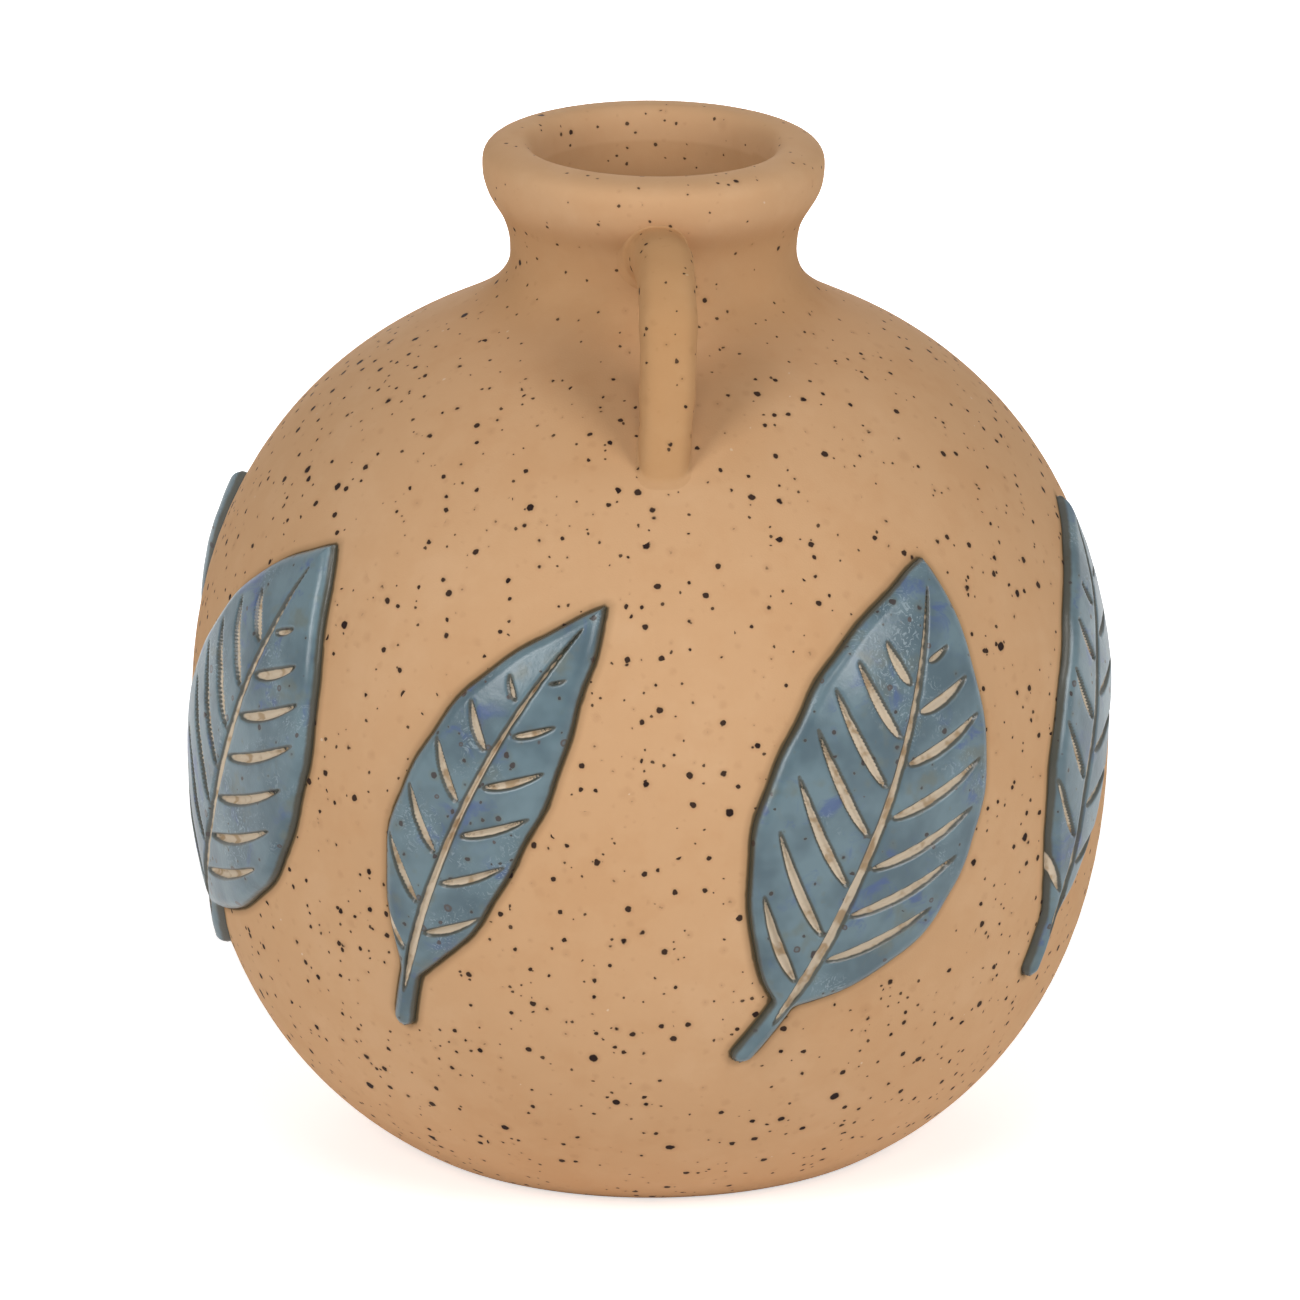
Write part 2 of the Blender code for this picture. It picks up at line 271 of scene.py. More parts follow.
def neck_outside():
    """From the shoulder's edge up over the waist to the lip's outer side."""
    edge = np.array((float(belly_radius(SHOULDER_Z)), SHOULDER_Z))
    below = np.array((float(belly_radius(SHOULDER_Z - SEAM_STEP)), SHOULDER_Z - SEAM_STEP))
    slope = (edge - below) / np.linalg.norm(edge - below)
    waist = np.array((WAIST_RADIUS, WAIST_Z))
    lip = np.array((LIP_RADIUS, LIP_Z))
    span = np.linalg.norm(edge - waist)
    drop = LIP_Z - WAIST_Z
    along_shoulder = edge + FILLET_AT_SHOULDER * span * slope
    fillet = bezier(edge, along_shoulder, waist - (0, FILLET_AT_WAIST * span), waist, 120)
    flare = bezier(waist, waist + (0, FLARE_AT_WAIST * drop), lip - (0, FLARE_AT_LIP * drop), lip)
    return joined(fillet, flare)


def belly_outside(low, high, count=400, inset=0.0):
    heights = low + (high - low) * (0.5 - 0.5 * np.cos(np.linspace(0, math.pi, count)))
    return np.column_stack((belly_radius(heights, inset), heights))


# Surface of the thrown clay


def hand_wobble(azimuth, z):
    """How far a hand-thrown wall stands off the true turned surface."""
    slow = 0.16 * np.sin(2 * azimuth + 0.8 + z * 14) + 0.11 * np.sin(3 * azimuth - 1.9 - z * 23)
    rings = 0.02 * np.sin(z * 1150 + azimuth) * (0.6 + 0.4 * np.sin(z * 95 + 2 * azimuth))
    return (slow + rings) * MM


def neck_lean(z):
    """How far the neck, set on by hand, stands off the axis to the right at height z."""
    return NECK_LEAN * smooth_step(SHOULDER_Z, WAIST_Z, z)


def rim_settling(x, y, z):
    """How far the rim lies below its true height."""
    return smooth_step(WAIST_Z, LIP_Z, z) * (RIM_DROP + RIM_FALL_RIGHT * x - RIM_FALL_FRONT * y)


def outside_line():
    """The jug's whole outside from foot to lip, with its outward normals."""
    line = joined(belly_outside(FOOT_ROUND, SHOULDER_Z), neck_outside())
    ahead = np.gradient(line, axis=0)
    normals = np.column_stack((ahead[:, 1], -ahead[:, 0]))
    return line, normals / np.linalg.norm(normals, axis=1)[:, None]


OUTSIDE, OUTSIDE_NORMALS = outside_line()


def over_jug(points):
    """Height of points over the jug's outside, and the outside's normals below them."""
    x, y, z = points[:, 0] - neck_lean(points[:, 2]), points[:, 1], points[:, 2]
    reach = np.hypot(x, y)
    flat = np.column_stack((reach, z))
    below = np.argmin(((flat[:, None, :] - OUTSIDE[None]) ** 2).sum(axis=2), axis=1)
    out, up = OUTSIDE_NORMALS[below].T
    height = ((flat - OUTSIDE[below]) * OUTSIDE_NORMALS[below]).sum(axis=1)
    return height, np.column_stack((out * x / reach, out * y / reach, up))


# Meshes


def new_piece(name, vertices, faces, sharp_degrees=None):
    """A smooth-shaded closed mesh with its faces turned outwards."""
    mesh = bpy.data.meshes.new(name)
    mesh.from_pydata([tuple(v) for v in vertices], [], faces)
    work = bmesh.new()
    work.from_mesh(mesh)
    bmesh.ops.recalc_face_normals(work, faces=work.faces)
    work.to_mesh(mesh)
    work.free()
    mesh.shade_smooth()
    if sharp_degrees:
        mesh.set_sharp_from_angle(angle=math.radians(sharp_degrees))
    piece = bpy.data.objects.new(name, mesh)
    bpy.context.scene.collection.objects.link(piece)
    return piece


def set_values(piece, name, values):
    """A number on each point, for the material to read."""
    layer = piece.data.attributes.new(name, "FLOAT", "POINT")
    layer.data.foreach_set("value", np.asarray(values, np.float32))


def places_of(piece):
    """Where each point of a piece is."""
    places = np.empty(len(piece.data.vertices) * 3, np.float32)
    piece.data.vertices.foreach_get("co", places)
    return places.reshape(-1, 3).astype(float)


def turned(name, profile, closed=False):
    """A profile turned round the Z axis; an open one starts and ends on the axis."""
    profile = np.asarray(profile, float)
    azimuth = np.linspace(0, math.tau, TURNS, endpoint=False)
    rings = profile if closed else profile[1:-1]
    height = rings[:, 1:]
    radius = rings[:, :1] + hand_wobble(azimuth[None], height)
    x = radius * np.sin(azimuth)[None] + neck_lean(height)
    y = -radius * np.cos(azimuth)[None]
    z = height - rim_settling(x, y, height)
    vertices = np.stack((x, y, z), axis=2).reshape(-1, 3)
    faces = []
    count = len(rings)
    for i in range(count if closed else count - 1):
        a, b = i * TURNS, (i + 1) % count * TURNS
        for j in range(TURNS):
            k = (j + 1) % TURNS
            faces.append((a + j, a + k, b + k, b + j))
    if not closed:
        ends = len(vertices)
        vertices = np.concatenate((vertices, [(0, 0, profile[0, 1]), (0, 0, profile[-1, 1])]))
        last = (count - 1) * TURNS
        for j in range(TURNS):
            k = (j + 1) % TURNS
            faces.append((ends, k, j))
            faces.append((ends + 1, last + j, last + k))
    return new_piece(name, vertices, faces, sharp_degrees=50)


# Clay pieces


def make_body():
    """Belly, shoulder, foot ring and inside of the body, up to the face that the neck sits on."""
    foot_in = float(belly_radius(FOOT_ROUND)) - FOOT_ROUND - FOOT_RING_WIDTH
    wall_slope = math.atan2(FOOT_ROUND, float(belly_radius(FOOT_ROUND) - belly_radius(0)))
    wall_foot = FOOT_ROUND * (1 - math.cos(wall_slope))
    foot_out = float(belly_radius(wall_foot)) - FOOT_ROUND * math.sin(wall_slope)
    # the recess rounds out into the foot ring
    underside = [
        (0, FOOT_RECESS),
        (foot_in - 6 * MM, FOOT_RECESS),
        (foot_in - 1.6 * MM, FOOT_RECESS),
        (foot_in - 0.9 * MM, FOOT_RECESS * 0.6),
        (foot_in - 0.3 * MM, 0.15 * MM),
        (foot_in + 0.6 * MM, 0),
    ]
    ring = even([underside[-1], (foot_out, 0)], FOOT_STEP)
    foot = joined(ring, arc((foot_out, FOOT_ROUND), FOOT_ROUND, -90, math.degrees(wall_slope) - 90))
    edge = (float(belly_radius(SHOULDER_Z)), SHOULDER_Z)
    outside = even(belly_outside(wall_foot, SHOULDER_Z - SEAM_STEP), OUTER_STEP)
    outside = np.concatenate((outside, [edge]))
    foot[-1] = outside[0]
    inner_top = (float(belly_radius(SHOULDER_Z, WALL)), SHOULDER_Z)
    turn_z = FLOOR_Z + FLOOR_CURVE_RISE
    turn = (float(belly_radius(turn_z, WALL)), turn_z)
    corner = (float(belly_radius(FLOOR_Z, WALL)), FLOOR_Z)
    floor_edge = (turn[0] - FLOOR_CURVE_RUN, FLOOR_Z)
    inside = even(belly_outside(turn_z, SHOULDER_Z, inset=WALL), INNER_STEP)[::-1]
    floor = even(bezier(turn, corner, corner, floor_edge), INNER_STEP)
    middle = even([floor_edge, (0, FLOOR_Z)], FLOOR_STEP)
    seat = even([outside[-1], inner_top], INNER_STEP)
    profile = joined(underside, foot, outside, seat, inside, floor, middle)
    return turned("jug_body", profile)


def make_neck():
    """Collar, waist, rolled lip, bore, and the spigot in the shoulder."""
    spigot = float(belly_radius(SHOULDER_Z, WALL)) - SLIP
    curve = neck_outside()
    outside = joined(curve[:2], even(curve[1:], NECK_STEP))
    outer_side = lip_side(LIP_RADIUS, LIP_Z, LIP_OUTER_POWER)[::-1]
    inner_side = lip_side(MOUTH_RADIUS, MOUTH_Z, LIP_INNER_POWER)
    lip = even(joined(outer_side, inner_side), NECK_STEP)
    bore = [(MOUTH_RADIUS, MOUTH_Z), (BORE_RADIUS, WAIST_Z), (BORE_RADIUS, SHOULDER_Z - SPIGOT_LENGTH)]
    bore = even(bore, NECK_STEP)
    foot = [
        bore[-1],
        (spigot, SHOULDER_Z - SPIGOT_LENGTH),
        (spigot, SHOULDER_Z),
        outside[0],
    ]
    profile = joined(outside, lip, bore, even(foot, INNER_STEP))[:-1]
    return turned("jug_neck", profile, closed=True)


def smooth_route(points, count):
    """A smooth line through the points, evenly spaced."""
    points = np.asarray(points, float)
    padded = np.concatenate(([2 * points[0] - points[1]], points, [2 * points[-1] - points[-2]]))
    t = np.linspace(0, 1, 40, endpoint=False)[:, None]
    line = []
    for a, b, c, d in zip(padded, padded[1:], padded[2:], padded[3:]):
        bend = (2 * a - 5 * b + 4 * c - d) * t**2 + (3 * b - a - 3 * c + d) * t**3
        line.append(0.5 * (2 * b + (c - a) * t + bend))
    line = np.concatenate([*line, points[-1:]])
    lengths = np.concatenate(([0], np.cumsum(np.linalg.norm(np.diff(line[:, :2], axis=0), axis=1))))
    at = np.linspace(0, lengths[-1], count)
    return np.column_stack([np.interp(at, lengths, line[:, k]) for k in range(line.shape[1])])


def make_handle():
    """The pulled strap, flaring where it is smoothed on to neck and shoulder."""
    route = smooth_route(HANDLE_ROUTE, HANDLE_RINGS)
    centres = np.column_stack((route[:, 3], -route[:, 0], route[:, 1]))
    ahead = np.gradient(centres, axis=0)
    ahead /= np.linalg.norm(ahead, axis=1)[:, None]
    side = np.cross(ahead, (1.0, 0, 0))
    side /= np.linalg.norm(side, axis=1)[:, None]
    across = np.cross(side, ahead)
    station = np.linspace(0, 1, HANDLE_RINGS)
    squarer = (HANDLE_SQUARENESS - HANDLE_ROOT_SQUARENESS) * smooth_step(*HANDLE_SQUARES_UP, station)
    power = (HANDLE_ROOT_SQUARENESS + squarer)[:, None]
    turn = np.linspace(0, math.tau, HANDLE_SIDES, endpoint=False)
    square = np.abs(np.cos(turn)) ** power + np.abs(np.sin(turn)) ** power
    reach = square ** (-1 / power)
    out = (reach * np.cos(turn))[:, :, None] * across[:, None]
    out += (reach * np.sin(turn))[:, :, None] * side[:, None]
    pulled = 1 + 0.015 * np.sin(station * 31) + 0.01 * np.sin(station * 57 + 1)
    radius = (HANDLE_RADIUS * route[:, 2] * pulled)[:, None, None]
    points = centres[:, None] + radius * out
    lift = over_jug(points.reshape(-1, 3))[0].reshape(points.shape[:2])
    fillet = np.where(station < 0.5, HANDLE_TOP_FILLET, HANDLE_LOW_FILLET)[:, None]
    share = np.clip(1 - lift / fillet, 0, 1)
    flare = fillet * (1 - np.sqrt(1 - share**2))
    points += np.minimum(flare, 0.9 * fillet)[:, :, None] * out
    vertices = points.reshape(-1, 3)
    faces = []
    for i in range(HANDLE_RINGS - 1):
        a, b = i * HANDLE_SIDES, (i + 1) * HANDLE_SIDES
        for j in range(HANDLE_SIDES):
            k = (j + 1) % HANDLE_SIDES
            faces.append((a + j, a + k, b + k, b + j))
    faces.append(tuple(range(HANDLE_SIDES)))
    faces.append(tuple(range((HANDLE_RINGS - 1) * HANDLE_SIDES, HANDLE_RINGS * HANDLE_SIDES)))
    handle = new_piece("jug_handle", vertices, faces)
    blend_into_jug(handle, vertices)
    return handle


def painted_shade_share(places):
    """How much painted shade the clay of belly and neck gets: at the neck's waist, in the handle's
    shadows on the shoulder, and in the bore."""
    x, y, z = places.T
    waist = WAIST_PAINTED_SHADE * smooth_step(*WAIST_SHADE_FROM_COLLAR, z)
    shoulder = smooth_step(*HANDLE_SHADOW_FROM_ASIDE, np.abs(x)) * smooth_step(*HANDLE_SHADOW_FROM_SHOULDER, z)
    outside = np.maximum(waist, HANDLE_PAINTED_SHADOW * shoulder * (y < 0)) * smooth_step(*PAINTED_SHADE_FROM_LIP, z)
    bore = BORE_PAINTED_SHADE * (z < MOUTH_Z)
    return np.where(np.hypot(x, y) > BORE_RADIUS + 2 * MM, outside, bore)


def mark_clay(body, neck, handle):
    """How far each point of the clay is darkened, by painted shade and on the handle by its own
    wet-finger smoothing, which fires darker, and its coarse grains' share.
    """
    for piece, coarse in ((body, 1.0), (neck, COARSE_ON_NECK), (handle, COARSE_ON_HANDLE)):
        places = places_of(piece)
        wiped_and_shade = painted_shade_share(places)
        if piece == handle:
            wiped_and_shade += (1 - wiped_and_shade) * smooth_step(*WIPED_FROM_ROOT, over_jug(places)[0])
        set_values(piece, "wiped_and_shade", wiped_and_shade)
        set_values(piece, "coarse", np.full(len(places), coarse))


def smooth_seam(piece):
    """Turns the normals along the joint of belly and neck to those of the whole outside."""
    places = places_of(piece)
    seam = np.abs(places[:, 2] - SHOULDER_Z) < 0.01 * MM
    seam &= np.hypot(places[:, 0], places[:, 1]) > SHOULDER_RADIUS - 1 * MM
    azimuth = np.arctan2(places[seam, 0], -places[seam, 1])
    above, below = SHOULDER_Z + SEAM_STEP, SHOULDER_Z - SEAM_STEP
    slope = float(belly_radius(SHOULDER_Z) - belly_radius(below)) / SEAM_STEP
    slope = slope + (hand_wobble(azimuth, above) - hand_wobble(azimuth, below)) / (2 * SEAM_STEP)
    out = 1 / np.hypot(1, slope)
    normals = np.zeros_like(places)
    normals[seam] = np.column_stack((out * np.sin(azimuth), -out * np.cos(azimuth), -out * slope))
    piece.data.normals_split_custom_set_from_vertices([tuple(normal) for normal in normals])


def blend_into_jug(piece, points):
    """Turns a piece's normals to those of the jug where the two are smoothed together."""
    own = np.empty(len(points) * 3, np.float32)
    piece.data.vertex_normals.foreach_get("vector", own)
    height, below = over_jug(points)
    share = smooth_step(HANDLE_BLEND, 0, height)[:, None]
    normals = own.reshape(-1, 3) * (1 - share) + below * share
    normals /= np.linalg.norm(normals, axis=1)[:, None]
    piece.data.normals_split_custom_set_from_vertices([tuple(normal) for normal in normals])


# Leaves


def meridian():
    """Heights and lengths along the belly's outside, with length 0 at its widest place."""
    heights = np.linspace(0.0, SHOULDER_Z, 1200)
    radii = belly_radius(heights)
    lengths = np.concatenate(([0.0], np.cumsum(np.hypot(np.diff(heights), np.diff(radii)))))
    return heights, lengths - np.interp(BELLY_Z, heights, lengths)


MERIDIAN_HEIGHTS, MERIDIAN_LENGTHS = meridian()


def on_belly(azimuth, across, up, lift):
    """Points over the belly at these lengths from the place on its widest line at azimuth."""
    z = np.interp(up, MERIDIAN_LENGTHS, MERIDIAN_HEIGHTS)
    radius = belly_radius(z)
    slope = (belly_radius(z + 0.1 * MM) - belly_radius(z - 0.1 * MM)) / (0.2 * MM)
    outward = 1 / np.hypot(1, slope)
    turn = azimuth + across / radius
    reach = radius + hand_wobble(turn, z) + lift * outward
    return np.stack((reach * np.sin(turn), -reach * np.cos(turn), z - lift * outward * slope), axis=-1)


def leaf_half_width(leaf, along, side, phase):
    """Half the leaf's width at a length from the end of its stalk, as cut by hand."""
    stalk, blade_length = leaf["stalk"], leaf["blade"]
    blade = np.clip((along - stalk) / blade_length, 0.0, 1.0)
    widest = LEAF_FOOT_POWER / (LEAF_FOOT_POWER + LEAF_TIP_POWER)
    full = widest**LEAF_FOOT_POWER * (1 - widest) ** LEAF_TIP_POWER
    swell = leaf["half_width"] * blade**LEAF_FOOT_POWER * (1 - blade) ** LEAF_TIP_POWER / full
    end = np.clip(1 - along / LEAF_STALK_RADIUS, 0, 1)
    rod = LEAF_STALK_RADIUS * np.sqrt(1 - end**2) * np.clip(1.15 - blade * 6, 0, 1)
    to_tip = np.clip(1 - (stalk + blade_length - along) / (2 * LEAF_TIP_RADIUS), 0, 1)
    swell = np.maximum(swell, LEAF_TIP_RADIUS * (blade > 0.9)) * np.sqrt(1 - to_tip**2)
    shaky = 0.3 * np.sin(along * 190 + phase + side) + 0.18 * np.sin(along * 430 + 2 * phase - side)
    return (swell**3 + rod**3) ** (1 / 3) + shaky * MM * np.clip(swell / (6 * MM), 0, 1)


def leaf_cuts(leaf, phase):
    """Points along the knife cuts of the midrib and the side ribs, with half their widths."""
    stalk, blade = leaf["stalk"], leaf["blade"]
    t = np.linspace(0, 1, 160)
    width = leaf["rib_half_width"] * MIDRIB_WIDER * (1 - t) ** 0.45 * np.clip(t * 9, 0, 1) ** 0.6
    length = blade * MIDRIB_END + stalk * (1 - MIDRIB_START)
    lines = [np.column_stack((0 * t, stalk * MIDRIB_START + t * length, width))]
    t = np.linspace(0, 1, 60)
    for side in (-1, 1):
        for i in range(leaf["ribs"]):
            share = RIBS_SPREAD * (i + RIBS_SHIFT * side) / (leaf["ribs"] - 1)
            start = stalk + blade * (RIBS_START + share)
            span = float(leaf_half_width(leaf, start + 0.16 * blade, side, phase))
            reach = RIB_REACH * span
            aside = side * (RIB_CLEAR_OF_MIDRIB + reach * t)
            along = start + reach * (RIB_SLANT * t + RIB_BEND * t**2)
            along = along + RIB_UNEVEN * math.sin(5 * i + phase + side)
            width = leaf["rib_half_width"] * np.sin(math.pi * t**0.8) ** 0.6 * min(1.0, span / (9 * MM))
            lines.append(np.column_stack((aside, along, width)))
    return np.concatenate(lines)


def nearest(points, targets, extra=0.0):
    """Least distance from each point to the targets, less each target's own extra reach."""
    least = np.full(len(points), np.inf)
    for start in range(0, len(targets), 100):
        block = targets[start : start + 100]
        reach = extra[start : start + 100] if np.ndim(extra) else extra
        gap = np.hypot(points[:, :1] - block[None, :, 0], points[:, 1:] - block[None, :, 1]) - reach
        least = np.minimum(least, gap.min(axis=1))
    return least


def leaf_plan(leaf, phase):
    """The leaf's grid on the flat: aside and along for each row and column, and its outline."""
    rows, columns = leaf["rows"], leaf["columns"]
    length = leaf["stalk"] + leaf["blade"]
    station = np.linspace(0, math.pi, rows + 1)
    along = length * (0.5 - 0.5 * np.cos(station)) * 0.35 + length * np.linspace(0, 1, rows + 1) * 0.65
    share = np.sin(np.linspace(-math.pi / 2, math.pi / 2, columns + 1))
    left = leaf_half_width(leaf, along, -1, phase)
    right = leaf_half_width(leaf, along, 1, phase)
    left[[0, -1]] = right[[0, -1]] = 0
    aside = np.where(share[None] < 0, share[None] * left[:, None], share[None] * right[:, None])
    outline = np.concatenate((np.column_stack((-left, along)), np.column_stack((right, along))))
    return aside, np.repeat(along[:, None], columns + 1, axis=1), outline


def leaf_to_belly(leaf, aside, along, azimuth, lift):
    """Bows and slants the flat leaf, and lays it on the belly."""
    length = leaf["stalk"] + leaf["blade"]
    aside = aside + leaf["bow"] * (1 - (2 * along / length - 1) ** 2)
    along = along - length / 2
    across = aside * math.cos(LEAF_TILT) + along * math.sin(LEAF_TILT)
    up = along * math.cos(LEAF_TILT) - aside * math.sin(LEAF_TILT) + LEAF_RISE
    return on_belly(azimuth, across, up, lift)


def make_leaf(name, leaf, azimuth, phase):
    """One leaf: a slab with rounded edges and its ribs cut in, closed by a back in the clay."""
    aside, along, outline = leaf_plan(leaf, phase)
    flat = np.column_stack((aside.ravel(), along.ravel()))
    cuts = leaf_cuts(leaf, phase)
    rim = nearest(flat, outline).reshape(aside.shape)
    rim[:, [0, -1]] = 0
    rim[[0, -1]] = 0
    cut = nearest(flat, cuts[:, :2], cuts[:, 2]).reshape(aside.shape)
    edge = np.clip(1 - rim / LEAF_EDGE_ROUND, 0, 1)
    pressed = 0.10 * np.sin(along * 260 + phase) * np.sin(aside * 330 + 2 * phase)
    crown = LEAF_THICKNESS * (0.9 + 0.1 * smooth_step(0, 9 * MM, rim)) + pressed * MM
    lift = (crown + LEAF_SINK) * np.sqrt(1 - edge**2) - LEAF_SINK
    lift -= CUT_DEPTH * smooth_step(0.6 * CUT_WALL, -CUT_WALL, cut) * np.clip(rim / LEAF_EDGE_ROUND, 0, 1)
    top = leaf_to_belly(leaf, aside, along, azimuth, lift)
    rows, columns = leaf["rows"], leaf["columns"]
    ribs = top[1:-1].reshape(-1, 3)
    width = columns + 1
    inner = rows - 1
    back_share = np.linspace(0, 1, LEAF_BACK_COLUMNS + 1)[1:-1]
    back_aside = aside[1:-1, :1] + (aside[1:-1, -1:] - aside[1:-1, :1]) * back_share[None]
    back_along = np.repeat(along[1:-1, :1], len(back_share), axis=1)
    back = leaf_to_belly(leaf, back_aside, back_along, azimuth, -LEAF_BACK_SINK)
    vertices = np.concatenate((ribs, top[:1, 0], top[-1:, 0], back.reshape(-1, 3)))
    foot, tip = inner * width, inner * width + 1
    back_start = tip + 1

    def back_index(row, column):
        if column == 0:
            return row * width
        if column == LEAF_BACK_COLUMNS:
            return row * width + columns
        return back_start + row * len(back_share) + column - 1

    faces = []
    for i in range(inner - 1):
        for j in range(columns):
            a = i * width + j
            faces.append((a, a + 1, a + width + 1, a + width))
        for j in range(LEAF_BACK_COLUMNS):
            faces.append(
                (back_index(i, j), back_index(i + 1, j), back_index(i + 1, j + 1), back_index(i, j + 1))
            )
    last = inner - 1
    for j in range(columns):
        faces.append((foot, j + 1, j))
        faces.append((tip, last * width + j, last * width + j + 1))
    for j in range(LEAF_BACK_COLUMNS):
        faces.append((foot, back_index(0, j), back_index(0, j + 1)))
        faces.append((tip, back_index(last, j + 1), back_index(last, j)))
    piece = new_piece(name, vertices, faces, sharp_degrees=75)

    def on_vertices(values, ends, behind):
        body = values[1:-1].ravel()
        return np.concatenate((body, [ends, ends], np.full(back.shape[0] * back.shape[1], behind)))

    set_values(piece, "rim_mm", on_vertices(rim / MM, 0.0, 0.0))
    set_values(piece, "cut_mm", on_vertices(cut / MM, 9.0, 9.0))
    set_values(piece, "lift_mm", on_vertices(lift / MM, 0.0, 0.0))
    return piece


def leaf_places():
    """Each leaf's name, kind, place round the belly and phase of its hand-cut unevenness."""
    pitch = math.tau / LEAF_PAIRS
    for pair in range(LEAF_PAIRS):
        yield f"leaf_broad_{pair + 1}", BROAD_LEAF, (pair + 0.25) * pitch, 1.7 * pair
        yield f"leaf_slender_{pair + 1}", SLENDER_LEAF, (pair + 0.75) * pitch, 2.3 * pair + 0.9


def mark_leaf_shade(body):
    """Distance, in millimetres, of each point of the clay from the nearest leaf."""
    points = places_of(body)
    shade = np.full(len(points), CLEAR_OF_LEAVES_MM)
    turn = np.arctan2(points[:, 0], -points[:, 1])
    radius = np.hypot(points[:, 0], points[:, 1])
    outer = radius > belly_radius(points[:, 2]) - 1 * MM
    for _, leaf, azimuth, phase in leaf_places():
        around = (turn - azimuth + math.pi) % math.tau - math.pi
        near = outer & (np.abs(around) < FUMED_AND_SHADED_TURN)
        near = np.flatnonzero(near & (points[:, 2] < SHOULDER_Z - FUMED_AND_SHADED_BELOW_SHOULDER))
        up = np.interp(points[near, 2], MERIDIAN_HEIGHTS, MERIDIAN_LENGTHS) - LEAF_RISE
        across = around[near] * radius[near]
        along = up * math.cos(LEAF_TILT) + across * math.sin(LEAF_TILT)
        aside = across * math.cos(LEAF_TILT) - up * math.sin(LEAF_TILT)
        length = leaf["stalk"] + leaf["blade"]
        along = along + length / 2
        aside = aside - leaf["bow"] * (1 - (2 * along / length - 1) ** 2)
        _, _, outline = leaf_plan(leaf, phase)
        gap = nearest(np.column_stack((aside, along)), outline) / MM
        side = np.where(aside < 0, -1, 1)
        half = np.where(
            side < 0, leaf_half_width(leaf, along, -1, phase), leaf_half_width(leaf, along, 1, phase)
        )
        under = (along > 0) & (along < length) & (np.abs(aside) < half)
        shade[near] = np.minimum(shade[near], np.where(under, -gap, gap))
    set_values(body, "leaf_mm", shade)


# Shader building blocks


def put(tree, kind, values=None, **settings):
    """A new node, with its inputs set or linked by name or number."""
    made = tree.nodes.new(kind)
    for key, value in settings.items():
        setattr(made, key, value)
    for key, value in (values or {}).items():
        if isinstance(value, bpy.types.NodeSocket):
            tree.links.new(value, made.inputs[key])
        else:
            made.inputs[key].default_value = value
    return made


def maths(tree, operation, a, b=0.0, c=0.0):
    return put(tree, "ShaderNodeMath", {0: a, 1: b, 2: c}, operation=operation).outputs[0]


def fade(tree, value, low, high, to_low=0.0, to_high=1.0):
    """A soft step between two values."""
    values = {"Value": value, "From Min": low, "From Max": high, "To Min": to_low, "To Max": to_high}
    return put(tree, "ShaderNodeMapRange", values, interpolation_type="SMOOTHSTEP").outputs[0]


def tint(tree, share, under, over, mode="MIX"):
    """One colour over another by a share."""
    node = put(tree, "ShaderNodeMix", {0: share, 6: under, 7: over}, data_type="RGBA", blend_type=mode)
    return node.outputs[2]


def noise(tree, place, scale, detail=2.0, roughness=0.5, distortion=0.0):
    values = {"Vector": place, "Scale": scale, "Detail": detail, "Roughness": roughness}
    values["Distortion"] = distortion
    return put(tree, "ShaderNodeTexNoise", values).outputs["Fac"]


def new_group(name, inputs, outputs):
    """A node group with number sockets: inputs with their defaults, and outputs."""
    group = bpy.data.node_groups.new(name, "ShaderNodeTree")
    for label, value in inputs.items():
        socket = group.interface.new_socket(label, in_out="INPUT", socket_type="NodeSocketFloat")
        socket.default_value = value
    for label in outputs:
        group.interface.new_socket(label, in_out="OUTPUT", socket_type="NodeSocketFloat")
    return group, put(group, "NodeGroupInput").outputs, put(group, "NodeGroupOutput").inputs


def use_group(tree, group, values=None):
    return put(tree, "ShaderNodeGroup", values, node_tree=group).outputs


def nudged(tree, place, scale, reach):
    """Places pushed a little to all sides, so that what is drawn there has ragged edges."""
    ragged = put(tree, "ShaderNodeTexNoise", {"Vector": place, "Scale": scale, "Detail": 1.0})
    centred = put(tree, "ShaderNodeVectorMath", {0: ragged.outputs["Color"], 1: (0.5, 0.5, 0.5)})
    centred.operation = "SUBTRACT"
    pushed = put(tree, "ShaderNodeVectorMath", {0: centred.outputs[0], "Scale": reach}, operation="SCALE")
    return put(tree, "ShaderNodeVectorMath", {0: place, 1: pushed.outputs[0]}).outputs[0]


def grains(tree, place, cell, least, most, share):
    """Round grains strewn through the clay, one at most in each cell: how far each place is
    from a grain's middle, in grain radii, and whether that grain is there."""
    cells = put(tree, "ShaderNodeTexVoronoi", {"Vector": place, "Scale": 1 / cell})
    chance = put(tree, "ShaderNodeSeparateColor", {"Color": cells.outputs["Color"]}).outputs
    there = maths(tree, "LESS_THAN", chance[0], share)
    size = maths(tree, "POWER", chance[1], 1.6)
    size = maths(tree, "MULTIPLY_ADD", size, (most - least) / cell, least / cell)
    return maths(tree, "DIVIDE", cells.outputs["Distance"], size), there


